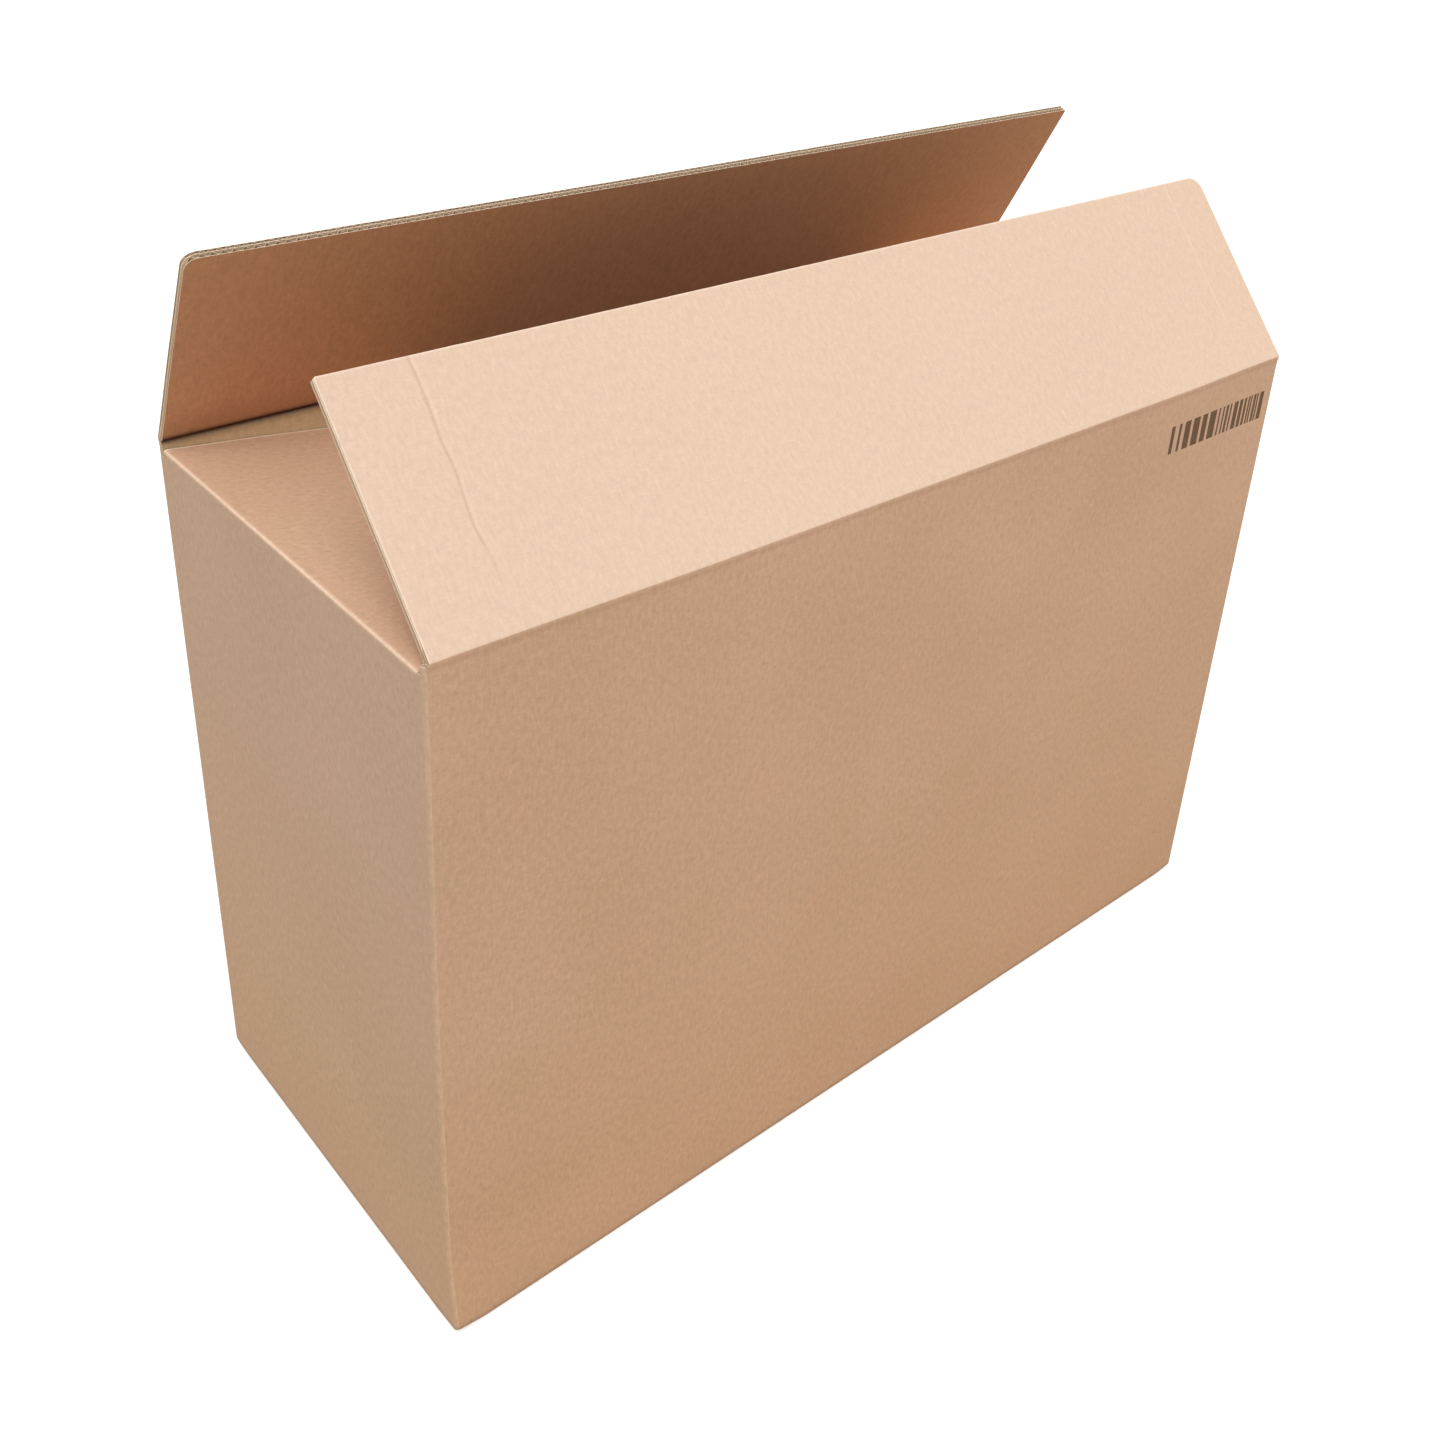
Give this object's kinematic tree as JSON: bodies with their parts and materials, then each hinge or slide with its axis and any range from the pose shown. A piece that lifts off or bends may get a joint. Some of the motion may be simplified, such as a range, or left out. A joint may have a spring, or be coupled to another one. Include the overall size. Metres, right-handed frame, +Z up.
{
  "type": "cardboard shipping carton",
  "caption": "Large open slotted carton of double-wall corrugated board; its long top flaps turn at their creases.",
  "frame": {"origin": "middle of the base, on the surface the carton stands on", "axes": "+X along the carton's length to its right end, +Y through its depth to the back, +Z up"},
  "size_m": [0.93, 0.395, 0.8031],
  "materials": {
    "kraft_board": "matt uncoated brown kraft liner with fine fibre mottling"
  },
  "bodies": {
    "carton": {"carton_body": "kraft_board"},
    "front_flap": {"front_flap": "kraft_board"},
    "back_flap": {"back_flap": "kraft_board"}
  },
  "joints": [
    {"name": "front_flap_crease", "type": "hinge", "parent": "carton", "child": "front_flap", "pos_m": [0, -0.19762, 0.63], "axis": [1, 0, 0], "range_deg": [-48, 217]},
    {"name": "back_flap_crease", "type": "hinge", "parent": "carton", "child": "back_flap", "pos_m": [0, 0.19762, 0.63], "axis": [-1, 0, 0], "range_deg": [-63.1, 201.9]}
  ]
}
